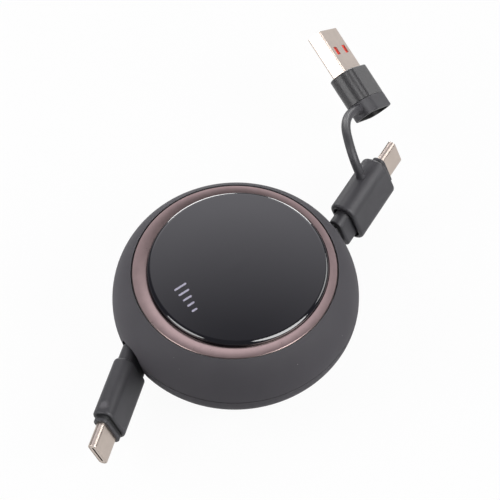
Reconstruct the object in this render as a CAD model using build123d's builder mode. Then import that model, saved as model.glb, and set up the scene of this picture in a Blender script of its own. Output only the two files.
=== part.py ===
from build123d import *
import os
from math import acos, atan2, cos, degrees, hypot, radians, sin, sqrt, tan

# A retractable charging cable. A sprung reel turns on a post inside a round puck, and a flat cable
# leaves it on both sides: the device plug on one end, and on the other the charger plug, whose rubber
# sleeve holds a wide-plug adapter by a short tether. All sizes are in millimetres. The origin is the
# centre of the puck's base, +Z is up, and +X runs towards the charger plug's exit.

# Puck housing
puck_radius = 32.0
widest_height = 10.2
base_radius = 20.8
crown_inset = 9.9
rim_radius = 26.3
seam_height = 11.2
shell_wall = 2.0
floor_thickness = 2.0
deck_thickness = 1.4
seam_bevel = 0.25
tongue_height = 1.2
tongue_thickness = 0.9
fit_clearance = 0.1

# Trim ring and lens on the top, the lens set off centre towards the charger plug's exit
ring_height = 1.3
ring_inner_height = 0.8
ring_bevel = 0.35
lens_radius = 23.1
lens_offset = 1.0
lens_side = 2.0
lens_crown = 2.7
lens_shoulder = 1.1

# Flat cable and its two exits
cable_width = 6.4
cable_thickness = 1.4
cable_corner = 0.5
cable_play = 0.25
exit_clearance = 0.4
exit_depth = 7.0
exit_mouth_depth = 1.5
exit_flare = 20.0

# Reel, stop ball and spring
reel_radius = 21.8
reel_gap = 0.4
hub_radius = 7.0
post_radius = 3.0
shoulder_radius = 5.2
running_clearance = 0.05
axial_play = 0.1
flange_thickness = 1.0
flange_rounding = 0.3
coil_inset = 0.6
cam_depth = 1.0
cam_rib = 1.4
detent_count = 6
detent_radius = 1.15
ball_radius = 1.2
ball_engagement = 0.7
ball_play = 0.15
track_radius = 12.4
track_half_width = 1.45
guide_length = 8.0
guide_width = 5.4
guide_gap = 0.3
anchor_offset = 5.2
barrel_wall = 1.2
cover_thickness = 0.5
dowel_radius = 0.7
dowel_length = 2.0
spring_height = 5.6
spring_thickness = 0.3
spring_play = 0.2
spring_pack = 2.9
spring_turns = 3
spring_tail_radius = 1.9
spring_tail_length = 2.6

# Housing screws and their bosses
boss_angles = (50, 110, 230, 290)
boss_radius = 2.4
pilot_radius = 0.8
pilot_depth = 7.5
screw_radius = 0.75
screw_hole_radius = 1.0
screw_length = 8.0
screw_head_radius = 1.5
screw_head_height = 1.1
screw_web = 1.5

# Small reversible plugs, as they lie: the angle where the plug's line crosses the puck's widest circle, its
# rise there above the middle of the cable, its swing from the radial line, its pitch, its roll about its
# own axis, and the distance from that circle to the metal
device_plug_stance = (-0.6, -1.0, 39.3, 3.4, 20.6, 20.8)
charger_plug_stance = (-1.15, -0.65, 22.25, 7.2, -18.2, 25.6)
neck_length = 5.0
neck_width = 10.0
neck_thickness = 4.2
neck_corner = 1.9
neck_rounding = 0.6
grip_length = 16.8
grip_width = 11.4
grip_thickness = 5.6
grip_corner = 2.5
grip_rounding = 0.7
nose_length = 1.7
nose_width = 9.8
nose_thickness = 3.9
nose_rounding = 0.3
plug_width = 8.25
plug_thickness = 2.4
plug_reach = 6.65
plug_wall = 0.3
plug_root = 3.0
plug_tip_rounding = 0.2
slot_width = 6.75
slot_thickness = 0.95
slot_depth = 5.4
insulator_inset = 0.3
contact_count = 12
contact_pitch = 0.5
contact_width = 0.26
contact_thickness = 0.1
contact_length = 4.4
board_width = 7.6
board_thickness = 0.8
board_length = 9.5

# Rubber sleeve and tether on the charger plug
sleeve_width = 13.6
sleeve_thickness = 7.9
sleeve_corner = 3.4
sleeve_rounding = 0.8
sleeve_lip = 1.0
sleeve_setback = 0.2
tether_radius = 1.25
tether_back = 8.1
tether_collar_back = 0.45
tether_boss_radius = 1.6
tether_boss_height = 1.2
tether_boss_root = 0.8
tether_rise = 7.2
tether_reach = 10.0
tether_bend_radii = (7.4, 14.5)

# Wide-plug adapter: place from the charger plug's metal, heading, pitch and roll
adapter_offset = (10.2, 29.0, 5.9)
adapter_heading = 90.0
adapter_pitch = 25.0
adapter_roll = -48.3
adapter_width = 15.7
adapter_thickness = 7.85
adapter_corner = 3.65
adapter_length = 9.3
adapter_rounding = 0.5
adapter_seam_bevel = 0.15
collar_length = 4.4
mouth_wall = 0.9
mouth_depth = 3.2
mouth_rounding = 0.3
wide_plug_width = 12.0
wide_plug_thickness = 4.5
wide_plug_wall = 0.35
wide_plug_corner = 0.5
wide_plug_reach = 13.3
wide_plug_root = 3.0
window_width = 2.0
window_length = 2.5
window_spacing = 5.8
window_from_tip = 6.8
tongue_plate_thickness = 1.8
tongue_plate_setback = 0.8
wide_contact_spots = (-3.5, -1.0, 1.0, 3.5)
wide_contact_width = 1.0
wide_contact_length = 7.5
wide_contact_thickness = 0.12
wide_contact_setback = 2.0
adapter_board_length = 3.0
adapter_board_width = 11.0
adapter_board_thickness = 0.9
socket_width = 8.94
socket_thickness = 3.16
socket_wall = 0.25
socket_reach = 1.7
socket_root = 2.9
socket_base_length = 1.1
socket_tongue_width = 6.69
socket_tongue_thickness = 0.7
socket_tongue_setback = 0.4
socket_contact_length = 3.0
socket_contact_thickness = 0.08

# Heights of the stack inside the puck, from the floor up
reel_bottom = floor_thickness + 2 * ball_radius - ball_engagement
thrust_top = reel_bottom - axial_play
flange_bottom = reel_bottom + cam_depth
flange_top = flange_bottom + flange_thickness
coil_bottom = flange_top + cable_play
coil_top = coil_bottom + cable_width
cable_height = (coil_bottom + coil_top) / 2
drum_top = coil_top + cable_play
barrel_floor = drum_top + flange_thickness
barrel_top = barrel_floor + spring_height + 2 * spring_play
cover_top = barrel_top + cover_thickness
deck_bottom = cover_top + reel_gap
deck_top = deck_bottom + deck_thickness
rim_height = deck_top + ring_height

# Radii that follow from the sizes above
crown_centre = puck_radius - crown_inset
crown_rise = (rim_height - widest_height) / sqrt(1 - ((rim_radius - crown_centre) / crown_inset) ** 2)
bore_radius = post_radius + running_clearance
coil_radius = reel_radius - coil_inset
pack_radius = reel_radius - barrel_wall - fit_clearance
tail_start = sqrt(post_radius**2 - spring_tail_radius**2) + spring_thickness
tongue_radius = puck_radius - shell_wall + tongue_thickness
boss_circle = reel_radius + reel_gap + boss_radius
boss_spots = [(boss_circle * cos(radians(angle)), boss_circle * sin(radians(angle))) for angle in boss_angles]
plug_length = nose_length + grip_length + neck_length

# Alignments that stand a solid on its location or hang it below
standing = (Align.CENTER, Align.CENTER, Align.MIN)
hanging = (Align.CENTER, Align.CENTER, Align.MAX)

os.makedirs("parts", exist_ok=True)


def stance_plane(origin, heading, pitch, roll):
    """Plane whose Z runs along a plug towards its tip and whose X runs across its wide side."""
    turn, lift, twist = radians(heading), radians(pitch), radians(roll)
    axis = Vector(cos(turn) * cos(lift), sin(turn) * cos(lift), sin(lift))
    up = Vector(-cos(turn) * sin(lift), -sin(turn) * sin(lift), cos(lift))
    wide = up * cos(twist) + axis.cross(up) * sin(twist)
    return Plane(origin=origin, x_dir=wide, z_dir=axis)


def plug_plane(exit_turn, stance):
    """Plane at the root of a plug's metal, from where the plug's line crosses the puck's widest circle."""
    wall_angle, rise, swing, pitch, roll, standoff = stance
    angle = radians(exit_turn + wall_angle)
    heading = exit_turn + wall_angle + swing
    root = Vector(
        puck_radius * cos(angle) + standoff * cos(radians(heading)),
        puck_radius * sin(angle) + standoff * sin(radians(heading)),
        cable_height + rise + standoff * tan(radians(pitch)),
    )
    return stance_plane(root, heading, pitch, roll)


device_plane = plug_plane(180, device_plug_stance)
charger_plane = plug_plane(0, charger_plug_stance)
plug_planes = {"device": device_plane, "charger": charger_plane}
wall_planes = [device_plane.offset(-device_plug_stance[-1]), charger_plane.offset(-charger_plug_stance[-1])]
adapter_plane = stance_plane(
    charger_plane.origin + Vector(*adapter_offset), adapter_heading, adapter_pitch, adapter_roll
)
collar_plane = adapter_plane.offset(-adapter_length)
mouth_plane = collar_plane.offset(-collar_length)


def puck_section(low, high):
    """Half section of the puck between two heights: a low ellipse under the widest circle, a tall one over it."""
    with BuildSketch(Plane.XZ) as section:
        with BuildLine():
            foot = EllipticalCenterArc(
                (base_radius, widest_height), puck_radius - base_radius, widest_height, 270, arc_size=90
            )
            crown = EllipticalCenterArc((crown_centre, widest_height), crown_inset, crown_rise, 0, arc_size=90)
            Polyline(crown @ 1, (0, widest_height + crown_rise), (0, 0), foot @ 0)
        make_face()
        with Locations((0, low)):
            Rectangle(puck_radius, high - low, align=(Align.MIN, Align.MIN), mode=Mode.INTERSECT)
    return section.sketch


def cavity_section(low, high):
    """Half section of the room inside the puck between two heights."""
    inner_rise = crown_rise - shell_wall
    with BuildSketch(Plane.XZ) as section:
        with BuildLine():
            foot = EllipticalCenterArc(
                (base_radius, widest_height),
                puck_radius - base_radius - shell_wall,
                widest_height - floor_thickness,
                270,
                arc_size=90,
            )
            crown = EllipticalCenterArc(
                (crown_centre, widest_height), crown_inset - shell_wall, inner_rise, 0, arc_size=90
            )
            Polyline(crown @ 1, (0, widest_height + inner_rise), (0, floor_thickness), foot @ 0)
        make_face()
        with Locations((0, low)):
            Rectangle(puck_radius, high - low, align=(Align.MIN, Align.MIN), mode=Mode.INTERSECT)
    return section.sketch


# Both cable exits as one cutting tool: a tunnel around each plug's neck that flares at the wall
with BuildPart() as exit_tool:
    for plane in wall_planes:
        for depth, flare in ((exit_depth, 0), (exit_mouth_depth, exit_flare)):
            with BuildSketch(plane.offset(-depth)):
                RectangleRounded(
                    neck_width + 2 * exit_clearance, neck_thickness + 2 * exit_clearance, neck_corner
                )
            extrude(amount=depth + exit_depth, taper=-flare)

# Lower shell: the floor with the reel's post, the ball's guide, the screw bosses and the seam's tongue
with BuildPart() as lower_shell:
    revolve(puck_section(0, seam_height), axis=Axis.Z)
    revolve(cavity_section(0, seam_height), axis=Axis.Z, mode=Mode.SUBTRACT)
    chamfer(lower_shell.edges().group_by(Axis.Z)[-1].sort_by(SortBy.LENGTH)[-1], seam_bevel)
    with BuildSketch(Plane.XY.offset(seam_height - tongue_height)):
        Circle(tongue_radius)
        Circle(tongue_radius - tongue_thickness, mode=Mode.SUBTRACT)
    extrude(amount=2 * tongue_height)
    with Locations((0, 0, floor_thickness / 2)):
        Cylinder(shoulder_radius, thrust_top - floor_thickness / 2, align=standing)
        Cylinder(post_radius, deck_bottom - axial_play - floor_thickness / 2, align=standing)
    with BuildSketch(Plane.XY.offset(floor_thickness / 2)):
        with Locations((0, track_radius)):
            Rectangle(guide_width, guide_length)
    extrude(amount=reel_bottom - guide_gap - floor_thickness / 2)
    with BuildSketch(Plane.XY.offset(floor_thickness)):
        with Locations((0, track_radius)):
            SlotOverall(guide_length - ball_radius, 2 * (ball_radius + ball_play), rotation=90)
    extrude(amount=cam_depth + ball_radius, mode=Mode.SUBTRACT)
    with Locations(*[(x, y, floor_thickness) for x, y in boss_spots]):
        Cylinder(boss_radius - reel_gap, seam_height - floor_thickness, align=standing)
    with Locations(*[(x, y, seam_height) for x, y in boss_spots]):
        Hole(pilot_radius, depth=pilot_depth)
    with BuildSketch(Plane.XY.offset(barrel_floor)):
        with Locations((tail_start - spring_tail_length - fit_clearance, spring_tail_radius)):
            Rectangle(2 * post_radius, spring_thickness + 2 * fit_clearance, align=(Align.MIN, Align.CENTER))
    extrude(amount=deck_bottom - barrel_floor, mode=Mode.SUBTRACT)
    add(exit_tool.part, mode=Mode.SUBTRACT)
lower_shell.part.label = "lower_shell"
export_step(lower_shell.part, "parts/lower_shell.step")

# Upper shell: the crown, the deck under the trim, the seam's rebate and the counterbored screw bosses
with BuildPart() as upper_shell:
    revolve(puck_section(seam_height, widest_height + crown_rise), axis=Axis.Z)
    revolve(cavity_section(seam_height, deck_bottom), axis=Axis.Z, mode=Mode.SUBTRACT)
    chamfer(upper_shell.edges().group_by(Axis.Z)[0].sort_by(SortBy.LENGTH)[-1], seam_bevel)
    with Locations((0, 0, deck_top)):
        Cylinder(rim_radius, crown_rise, align=standing, mode=Mode.SUBTRACT)
    with Locations((0, 0, seam_height)):
        Cylinder(
            tongue_radius + fit_clearance, tongue_height + fit_clearance, align=standing, mode=Mode.SUBTRACT
        )
    with Locations(*[(x, y, seam_height) for x, y in boss_spots]):
        Cylinder(boss_radius, deck_bottom - seam_height, align=standing)
    with Locations(*[(x, y, deck_top) for x, y in boss_spots]):
        CounterBoreHole(
            screw_hole_radius,
            screw_head_radius + fit_clearance,
            deck_top - seam_height - screw_web,
            depth=deck_top - seam_height,
        )
    add(exit_tool.part, mode=Mode.SUBTRACT)
upper_shell.part.label = "upper_shell"
export_step(upper_shell.part, "parts/upper_shell.step")

# Housing screws, seated in the upper bosses and driven into the lower ones
with BuildPart() as housing_screws:
    with Locations(*[(x, y, seam_height + screw_web) for x, y in boss_spots]):
        Cylinder(screw_head_radius, screw_head_height, align=standing)
        Cylinder(screw_radius, screw_length, align=hanging)
housing_screws.part.label = "housing_screws"
export_step(housing_screws.part, "parts/housing_screws.step")

# Trim ring: a dished metal ring in the crown's rim, cut off centre so that it is wider on one side
with BuildPart() as trim_ring:
    ring_radius = rim_radius - fit_clearance
    ring_start = lens_radius - 2 * lens_offset
    with BuildSketch(Plane.XZ):
        with BuildLine():
            Polyline(
                (ring_start, deck_top),
                (ring_radius, deck_top),
                (ring_radius, rim_height - ring_bevel),
                (ring_radius - ring_bevel, rim_height),
                (ring_start, deck_top + ring_inner_height),
                close=True,
            )
        make_face()
    revolve(axis=Axis.Z)
    with Locations((lens_offset, 0, deck_top)):
        Cylinder(lens_radius + fit_clearance, 2 * ring_height, align=standing, mode=Mode.SUBTRACT)
trim_ring.part.label = "trim_ring"
export_step(trim_ring.part, "parts/trim_ring.step")

# Top lens: a low glossy dome with a rolled shoulder
with BuildPart() as top_lens:
    with BuildSketch(Plane(origin=(lens_offset, 0, deck_top), x_dir=(1, 0, 0), z_dir=(0, -1, 0))):
        with BuildLine():
            Polyline((0, lens_crown), (0, 0), (lens_radius, 0), (lens_radius, lens_side))
            TangentArc((0, lens_crown), (lens_radius, lens_side), tangent=(1, 0))
        make_face()
    revolve(axis=Axis((lens_offset, 0, 0), (0, 0, 1)))
    lens_rim = top_lens.edges().filter_by_position(
        Axis.Z, deck_top + lens_side - fit_clearance, deck_top + lens_side + fit_clearance
    )
    fillet(lens_rim, lens_shoulder)
top_lens.part.label = "top_lens"
export_step(top_lens.part, "parts/top_lens.step")

# Stop ball, loose in its guide under the reel
with BuildPart() as stop_ball:
    with Locations((0, track_radius, floor_thickness + ball_radius)):
        Sphere(ball_radius)
stop_ball.part.label = "stop_ball"
export_step(stop_ball.part, "parts/stop_ball.step")

# Reel drum: the hub and lower flange, with the ball's track and detents underneath
with BuildPart() as reel_drum:
    with Locations((0, 0, flange_bottom)):
        Cylinder(reel_radius, flange_thickness, align=standing)
    fillet(reel_drum.edges().filter_by(GeomType.CIRCLE), flange_rounding)
    with Locations((0, 0, reel_bottom)):
        Cylinder(hub_radius, drum_top - reel_bottom, align=standing)
    with BuildSketch(Plane.XY.offset(reel_bottom)):
        Circle(track_radius + track_half_width + cam_rib)
        Circle(track_radius + track_half_width, mode=Mode.SUBTRACT)
        Circle(track_radius - track_half_width)
        with PolarLocations(track_radius - track_half_width, detent_count, start_angle=90):
            Circle(detent_radius, mode=Mode.SUBTRACT)
    extrude(amount=cam_depth)
    with Locations((0, 0, drum_top)):
        Hole(bore_radius)
    with PolarLocations(anchor_offset, 2, start_angle=210, angular_range=240):
        with Locations((0, 0, drum_top)):
            Hole(dowel_radius + running_clearance, depth=dowel_length + fit_clearance)
    with Locations((0, anchor_offset, flange_top)):
        Box(
            2 * hub_radius,
            cable_thickness + 2 * fit_clearance,
            drum_top - flange_top,
            align=standing,
            mode=Mode.SUBTRACT,
        )
reel_drum.part.label = "reel_drum"
export_step(reel_drum.part, "parts/reel_drum.step")

# Spring barrel: the upper flange and the wall around the spring, doweled to the drum
with BuildPart() as spring_barrel:
    with Locations((0, 0, drum_top)):
        Cylinder(reel_radius, barrel_top - drum_top, align=standing)
    with Locations((0, 0, barrel_floor)):
        Cylinder(reel_radius - barrel_wall, barrel_top - barrel_floor, align=standing, mode=Mode.SUBTRACT)
    with Locations((0, 0, barrel_floor)):
        Hole(bore_radius)
    with PolarLocations(anchor_offset, 2, start_angle=210, angular_range=240):
        with Locations((0, 0, drum_top)):
            Cylinder(dowel_radius, dowel_length, align=hanging)
spring_barrel.part.label = "spring_barrel"
export_step(spring_barrel.part, "parts/spring_barrel.step")

# Spring cover: a thin disc that closes the barrel
with BuildPart() as spring_cover:
    with Locations((0, 0, barrel_top)):
        Cylinder(reel_radius, cover_thickness, align=standing)
    with Locations((0, 0, cover_top)):
        Hole(post_radius + barrel_wall)
spring_cover.part.label = "spring_cover"
export_step(spring_cover.part, "parts/spring_cover.step")

# Main spring: most turns packed against the barrel, the rest spiralling in to a tail in the post
with BuildPart() as main_spring:
    spiral_start = pack_radius - spring_pack + spring_thickness / 2
    spiral_step = (spiral_start - tail_start - spring_tail_radius) / (2 * spring_turns)
    with BuildSketch(Plane.XY.offset(barrel_floor + spring_play)):
        Circle(pack_radius)
        Circle(pack_radius - spring_pack, mode=Mode.SUBTRACT)
        with BuildLine():
            for half_turn in range(2 * spring_turns):
                radius = spiral_start - half_turn * spiral_step
                side = half_turn % 2
                strip = CenterArc((-side * spiral_step, 0), radius, 180 * side, 180)
            tail = JernArc(strip @ 1, strip % 1, spring_tail_radius, 90)
            Line(tail @ 1, tail @ 1 + (tail % 1) * spring_tail_length)
        trace(line_width=spring_thickness)
    extrude(amount=spring_height)
main_spring.part.label = "main_spring"
export_step(main_spring.part, "parts/main_spring.step")

# Wound cable: all turns as one roll, with the cable's middle drawn through the hub's anchor slot
with BuildPart() as cable_winding:
    with BuildSketch(Plane.XY.offset(coil_bottom)):
        Circle(coil_radius)
        Circle(hub_radius + fit_clearance, mode=Mode.SUBTRACT)
        with Locations((0, anchor_offset)):
            Rectangle(2 * hub_radius, cable_thickness)
    extrude(amount=cable_width)
cable_winding.part.label = "cable_winding"
export_step(cable_winding.part, "parts/cable_winding.step")

# Cable leads: from a tangent of the roll to the rear of each plug's neck
lead_radius = coil_radius + reel_gap + cable_thickness / 2
lead_straight = 2.5 * cable_thickness
lead_bend_radius = 4 * cable_thickness
for end, plane in plug_planes.items():
    neck_rear = plane.origin - plane.z_dir * (plug_length + fit_clearance)
    bend = neck_rear - plane.z_dir * lead_straight
    leave = atan2(bend.Y, bend.X) - acos(lead_radius / hypot(bend.X, bend.Y))
    start = Vector(lead_radius * cos(leave), lead_radius * sin(leave), cable_height)
    with BuildPart() as cable_lead:
        with BuildLine() as route:
            FilletPolyline(start, bend, neck_rear, radius=lead_bend_radius)
        with BuildSketch(Plane(origin=start, x_dir=(0, 0, 1), z_dir=route.line % 0)):
            RectangleRounded(cable_width, cable_thickness, cable_corner)
        sweep(path=route.wires()[0])
    cable_lead.part.label = f"{end}_cable_lead"
    export_step(cable_lead.part, f"parts/{end}_cable_lead.step")
    print(end, "lead length", round(route.wires()[0].length, 2))

# The two small plugs: overmould, metal shell, insulator, contacts and board
for end, plane in plug_planes.items():
    plug_axis = Axis(plane.origin, plane.z_dir)

    with BuildPart() as overmould:
        with BuildSketch(plane.offset(-nose_length - grip_length)):
            RectangleRounded(grip_width, grip_thickness, grip_corner)
        extrude(amount=grip_length)
        grip_ends = overmould.edges().group_by(plug_axis)
        fillet(grip_ends[0] + grip_ends[-1], grip_rounding)
        with BuildSketch(plane.offset(-plug_length)):
            RectangleRounded(neck_width, neck_thickness, neck_corner)
        extrude(amount=neck_length + grip_rounding)
        fillet(overmould.edges().group_by(plug_axis)[0], neck_rounding)
        with BuildSketch(plane.offset(-nose_length - nose_rounding)):
            RectangleRounded(nose_width, nose_thickness, nose_thickness / 2 - nose_rounding)
        extrude(amount=nose_length + nose_rounding)
        fillet(overmould.edges().group_by(plug_axis)[-1], nose_rounding)
        with BuildSketch(plane.offset(-plug_root)):
            SlotOverall(plug_width + 2 * running_clearance, plug_thickness + 2 * running_clearance)
        extrude(amount=plug_root, mode=Mode.SUBTRACT)
        with BuildSketch(plane.offset(-plug_root - board_length - 2 * fit_clearance)):
            Rectangle(board_width + 2 * fit_clearance, board_thickness + 2 * fit_clearance)
        extrude(amount=board_length + 2 * fit_clearance, mode=Mode.SUBTRACT)
    overmould.part.label = f"{end}_plug_overmould"
    export_step(overmould.part, f"parts/{end}_plug_overmould.step")

    with BuildPart() as plug_shell:
        with BuildSketch(plane.offset(-plug_root)):
            SlotOverall(plug_width, plug_thickness)
        extrude(amount=plug_root + plug_reach)
        fillet(plug_shell.edges().group_by(plug_axis)[-1], plug_tip_rounding)
        with BuildSketch(plane.offset(-plug_root)):
            SlotOverall(plug_width - 2 * plug_wall, plug_thickness - 2 * plug_wall)
        extrude(amount=plug_root + plug_reach, mode=Mode.SUBTRACT)
    plug_shell.part.label = f"{end}_plug_shell"
    export_step(plug_shell.part, f"parts/{end}_plug_shell.step")

    insulator_top = plug_reach - insulator_inset
    with BuildPart() as insulator:
        with BuildSketch(plane.offset(-plug_root)):
            SlotOverall(
                plug_width - 2 * (plug_wall + running_clearance), plug_thickness - 2 * (plug_wall + running_clearance)
            )
        extrude(amount=plug_root + insulator_top)
        with BuildSketch(plane.offset(insulator_top - slot_depth)):
            Rectangle(slot_width, slot_thickness)
        extrude(amount=slot_depth, mode=Mode.SUBTRACT)
    insulator.part.label = f"{end}_plug_insulator"
    export_step(insulator.part, f"parts/{end}_plug_insulator.step")

    with BuildPart() as contacts:
        with BuildSketch(plane.offset(insulator_top - slot_depth)):
            for side in (-1, 1):
                with Locations((0, side * (slot_thickness - contact_thickness) / 2)):
                    with GridLocations(contact_pitch, 0, contact_count, 1):
                        Rectangle(contact_width, contact_thickness)
        extrude(amount=contact_length)
    contacts.part.label = f"{end}_plug_contacts"
    export_step(contacts.part, f"parts/{end}_plug_contacts.step")

    with BuildPart() as board:
        with BuildSketch(plane.offset(-plug_root - fit_clearance - board_length)):
            Rectangle(board_width, board_thickness)
        extrude(amount=board_length)
    board.part.label = f"{end}_plug_board"
    export_step(board.part, f"parts/{end}_plug_board.step")

# Ends of the tether: on the sleeve's upper edge and on the collar's edge that faces it
sleeve_anchor = charger_plane.origin - charger_plane.z_dir * tether_back + charger_plane.x_dir * sleeve_width / 2
collar_anchor = (
    collar_plane.origin - collar_plane.z_dir * (tether_collar_back + tether_radius)
    + collar_plane.x_dir * adapter_width / 2
)

# Rubber sleeve over the charger plug's grip, with the tether's root
with BuildPart() as tether_sleeve:
    charger_axis = Axis(charger_plane.origin, charger_plane.z_dir)
    sleeve_rear = charger_plane.offset(-nose_length - grip_length - sleeve_lip)
    sleeve_length = grip_length + sleeve_lip - sleeve_setback
    with BuildSketch(sleeve_rear):
        RectangleRounded(sleeve_width, sleeve_thickness, sleeve_corner)
    extrude(amount=sleeve_length)
    sleeve_ends = tether_sleeve.edges().group_by(charger_axis)
    fillet(sleeve_ends[0] + sleeve_ends[-1], sleeve_rounding)
    root_plane = Plane(
        origin=sleeve_anchor - charger_plane.x_dir * tether_boss_root,
        x_dir=charger_plane.z_dir,
        z_dir=charger_plane.x_dir,
    )
    with BuildSketch(root_plane):
        Circle(tether_boss_radius)
    extrude(amount=tether_boss_root + tether_boss_height, taper=degrees(atan2(
        tether_boss_radius - tether_radius, tether_boss_root + tether_boss_height
    )))
    with BuildSketch(sleeve_rear):
        RectangleRounded(
            grip_width + 2 * running_clearance, grip_thickness + 2 * running_clearance, grip_corner
        )
    extrude(amount=sleeve_length, mode=Mode.SUBTRACT)
tether_sleeve.part.label = "tether_sleeve"
export_step(tether_sleeve.part, "parts/tether_sleeve.step")

# Tether: a round strand that rises from the sleeve and arches over into the collar
with BuildPart() as tether:
    strand_start = sleeve_anchor + charger_plane.x_dir * tether_boss_height
    strand_end = collar_anchor + collar_plane.x_dir * tether_boss_height
    with BuildLine() as route:
        FilletPolyline(
            strand_start,
            strand_start + charger_plane.x_dir * tether_rise,
            strand_end + collar_plane.x_dir * tether_reach,
            strand_end,
            radius=tether_bend_radii,
        )
    with BuildSketch(Plane(origin=strand_start, x_dir=charger_plane.z_dir, z_dir=charger_plane.x_dir)):
        Circle(tether_radius)
    sweep(path=route.wires()[0])
    print("tether length", round(route.wires()[0].length, 2), "bend radii", tether_bend_radii)
tether.part.label = "tether"
export_step(tether.part, "parts/tether.step")

# Adapter body: the glossy block that holds the wide plug, the board and the rear of the socket
adapter_axis = Axis(adapter_plane.origin, adapter_plane.z_dir)
with BuildPart() as adapter_body:
    with BuildSketch(collar_plane):
        RectangleRounded(adapter_width, adapter_thickness, adapter_corner)
    extrude(amount=adapter_length)
    body_ends = adapter_body.edges().group_by(adapter_axis)
    fillet(body_ends[-1], adapter_rounding)
    chamfer(adapter_body.edges().group_by(adapter_axis)[0], adapter_seam_bevel)
    with BuildSketch(adapter_plane.offset(-wide_plug_root)):
        RectangleRounded(
            wide_plug_width + 2 * running_clearance, wide_plug_thickness + 2 * running_clearance, wide_plug_corner
        )
    extrude(amount=wide_plug_root, mode=Mode.SUBTRACT)
    with BuildSketch(adapter_plane.offset(-wide_plug_root - adapter_board_length - 2 * fit_clearance)):
        Rectangle(adapter_board_width + 2 * fit_clearance, adapter_board_thickness + 2 * fit_clearance)
    extrude(amount=adapter_board_length + 2 * fit_clearance, mode=Mode.SUBTRACT)
    with BuildSketch(collar_plane):
        SlotOverall(socket_width + 2 * running_clearance, socket_thickness + 2 * running_clearance)
    extrude(amount=socket_root, mode=Mode.SUBTRACT)
adapter_body.part.label = "adapter_body"
export_step(adapter_body.part, "parts/adapter_body.step")

# Adapter collar: the rubber mouth around the socket, with the tether's other root
with BuildPart() as adapter_collar:
    with BuildSketch(mouth_plane):
        RectangleRounded(adapter_width, adapter_thickness, adapter_corner)
    extrude(amount=collar_length)
    fillet(adapter_collar.edges().group_by(adapter_axis)[0], mouth_rounding)
    chamfer(adapter_collar.edges().group_by(adapter_axis)[-1], adapter_seam_bevel)
    root_plane = Plane(
        origin=collar_anchor - collar_plane.x_dir * tether_boss_root,
        x_dir=collar_plane.z_dir,
        z_dir=collar_plane.x_dir,
    )
    with BuildSketch(root_plane):
        Circle(tether_boss_radius)
    extrude(amount=tether_boss_root + tether_boss_height, taper=degrees(atan2(
        tether_boss_radius - tether_radius, tether_boss_root + tether_boss_height
    )))
    with BuildSketch(mouth_plane):
        RectangleRounded(
            adapter_width - 2 * mouth_wall, adapter_thickness - 2 * mouth_wall, adapter_corner - mouth_wall
        )
    extrude(amount=mouth_depth, mode=Mode.SUBTRACT)
    with BuildSketch(mouth_plane):
        SlotOverall(socket_width + 2 * running_clearance, socket_thickness + 2 * running_clearance)
    extrude(amount=collar_length, mode=Mode.SUBTRACT)
adapter_collar.part.label = "adapter_collar"
export_step(adapter_collar.part, "parts/adapter_collar.step")

# Wide plug shell: a folded metal tube with two windows in each wide face
with BuildPart() as wide_plug_shell:
    with BuildSketch(adapter_plane.offset(-wide_plug_root)):
        RectangleRounded(wide_plug_width, wide_plug_thickness, wide_plug_corner)
        RectangleRounded(
            wide_plug_width - 2 * wide_plug_wall,
            wide_plug_thickness - 2 * wide_plug_wall,
            wide_plug_corner - wide_plug_wall / 2,
            mode=Mode.SUBTRACT,
        )
    extrude(amount=wide_plug_root + wide_plug_reach)
    window_plane = Plane(
        origin=adapter_plane.origin + adapter_plane.z_dir * (wide_plug_reach - window_from_tip),
        x_dir=adapter_plane.x_dir,
        z_dir=adapter_plane.y_dir,
    )
    with BuildSketch(window_plane):
        with GridLocations(window_spacing, 0, 2, 1):
            Rectangle(window_width, window_length)
    extrude(amount=wide_plug_thickness, both=True, mode=Mode.SUBTRACT)
wide_plug_shell.part.label = "wide_plug_shell"
export_step(wide_plug_shell.part, "parts/wide_plug_shell.step")

# Wide plug insulator: a base in the shell's root and a tongue along one wide face
inner_width = wide_plug_width - 2 * (wide_plug_wall + running_clearance)
inner_thickness = wide_plug_thickness - 2 * (wide_plug_wall + running_clearance)
tongue_top = wide_plug_reach - tongue_plate_setback
with BuildPart() as wide_plug_insulator:
    with BuildSketch(adapter_plane.offset(-wide_plug_root)):
        RectangleRounded(inner_width, inner_thickness, wide_plug_corner - wide_plug_wall / 2)
    extrude(amount=wide_plug_root + fit_clearance)
    with BuildSketch(adapter_plane):
        with Locations((0, inner_thickness / 2)):
            Rectangle(inner_width - wide_plug_corner, tongue_plate_thickness, align=(Align.CENTER, Align.MAX))
    extrude(amount=tongue_top)
wide_plug_insulator.part.label = "wide_plug_insulator"
export_step(wide_plug_insulator.part, "parts/wide_plug_insulator.step")

# Wide plug contacts: four flat springs on the tongue's inner face
with BuildPart() as wide_plug_contacts:
    with BuildSketch(adapter_plane.offset(tongue_top - wide_contact_setback - wide_contact_length)):
        with Locations(*[(x, inner_thickness / 2 - tongue_plate_thickness) for x in wide_contact_spots]):
            Rectangle(wide_contact_width, wide_contact_thickness, align=(Align.CENTER, Align.MAX))
    extrude(amount=wide_contact_length)
wide_plug_contacts.part.label = "wide_plug_contacts"
export_step(wide_plug_contacts.part, "parts/wide_plug_contacts.step")

# Adapter board between the wide plug and the socket
with BuildPart() as adapter_board:
    with BuildSketch(adapter_plane.offset(-wide_plug_root - fit_clearance - adapter_board_length)):
        Rectangle(adapter_board_width, adapter_board_thickness)
    extrude(amount=adapter_board_length)
adapter_board.part.label = "adapter_board"
export_step(adapter_board.part, "parts/adapter_board.step")

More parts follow.
